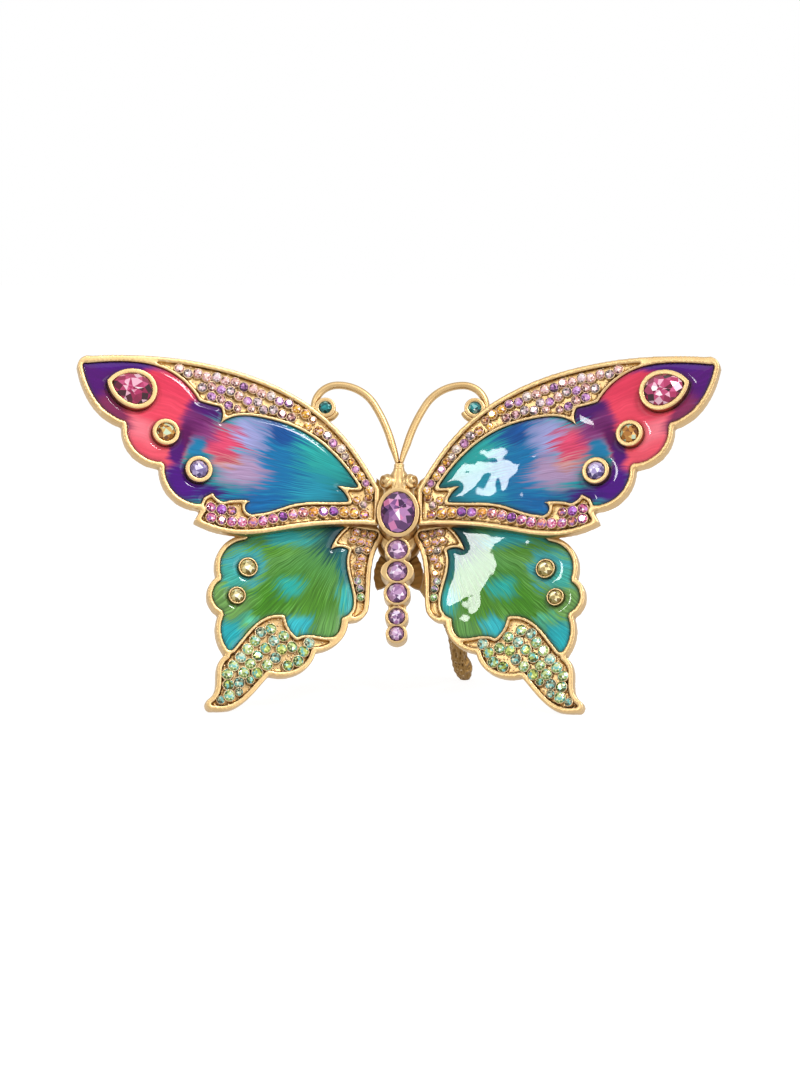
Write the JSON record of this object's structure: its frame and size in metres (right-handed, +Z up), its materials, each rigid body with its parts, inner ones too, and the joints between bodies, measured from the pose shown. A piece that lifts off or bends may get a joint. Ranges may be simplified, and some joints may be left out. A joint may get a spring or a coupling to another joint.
{
  "type": "standing butterfly ornament",
  "caption": "Standing butterfly ornament: gilt cast wings with enamel cells and set crystals, cupped body, curled antennae, propped by a swinging rear leg.",
  "frame": {"origin": "on the table, under the middle of the ornament's box", "axes": "+X to the viewer's right along the wingspan, +Y away from the viewer, +Z up"},
  "size_m": [0.159, 0.0533, 0.0853],
  "materials": {
    "gilt_casting": "satin antiqued gilt",
    "antique_bronze": "dark satin",
    "screw_brass": "turned",
    "violet_enamel": "translucent gloss over relief",
    "green_enamel": "translucent gloss over relief",
    "rose_crystal": "cut, foil-backed",
    "peridot_crystal": "cut, foil-backed",
    "ruby_crystal": "cut, foil-backed",
    "amber_crystal": "cut, foil-backed",
    "lilac_crystal": "cut, foil-backed",
    "citrine_crystal": "cut, foil-backed",
    "teal_crystal": "cut, foil-backed",
    "amethyst_crystal": "cut, foil-backed"
  },
  "bodies": {
    "butterfly": {"abdomen_crystal_1": "amethyst_crystal", "abdomen_crystal_2": "amethyst_crystal", "abdomen_crystal_3": "amethyst_crystal", "abdomen_crystal_4": "amethyst_crystal", "abdomen_crystal_5": "amethyst_crystal", "amber_bezel_left": "gilt_casting", "amber_bezel_right": "gilt_casting", "amber_crystal_left": "amber_crystal", "amber_crystal_right": "amber_crystal", "antenna_crystal_left": "teal_crystal", "antenna_crystal_right": "teal_crystal", "antenna_left": "gilt_casting", "antenna_right": "gilt_casting", "body_casting": "gilt_casting", "citrine_bezels_left": "gilt_casting", "citrine_bezels_right": "gilt_casting", "citrine_crystals_left": "citrine_crystal", "citrine_crystals_right": "citrine_crystal", "forewing_enamel_left": "violet_enamel", "forewing_enamel_right": "violet_enamel", "forewing_left": "gilt_casting", "forewing_right": "gilt_casting", "head_casting": "gilt_casting", "hindwing_enamel_left": "green_enamel", "hindwing_enamel_right": "green_enamel", "hindwing_left": "gilt_casting", "hindwing_right": "gilt_casting", "inner_pave_left": "peridot_crystal", "inner_pave_right": "peridot_crystal", "leading_pave_left": "rose_crystal", "leading_pave_right": "rose_crystal", "leaf_bracket": "antique_bronze", "lilac_bezel_left": "gilt_casting", "lilac_bezel_right": "gilt_casting", "lilac_crystal_left": "lilac_crystal", "lilac_crystal_right": "lilac_crystal", "pear_bezel_left": "gilt_casting", "pear_bezel_right": "gilt_casting", "pear_crystal_left": "ruby_crystal", "pear_crystal_right": "ruby_crystal", "pivot_screw": "screw_brass", "tail_pave_left": "peridot_crystal", "tail_pave_right": "peridot_crystal", "thorax_crystal": "amethyst_crystal", "trailing_pave_left": "rose_crystal", "trailing_pave_right": "rose_crystal"},
    "prop_leg": {"prop_leg": "antique_bronze"}
  },
  "joints": [
    {"name": "prop_leg_swing", "type": "hinge", "parent": "butterfly", "child": "prop_leg", "pos_m": [0, 0.00604, 0.0382], "axis": [0, -0.9135, 0.4067], "range_deg": [-62.2, 0]}
  ]
}
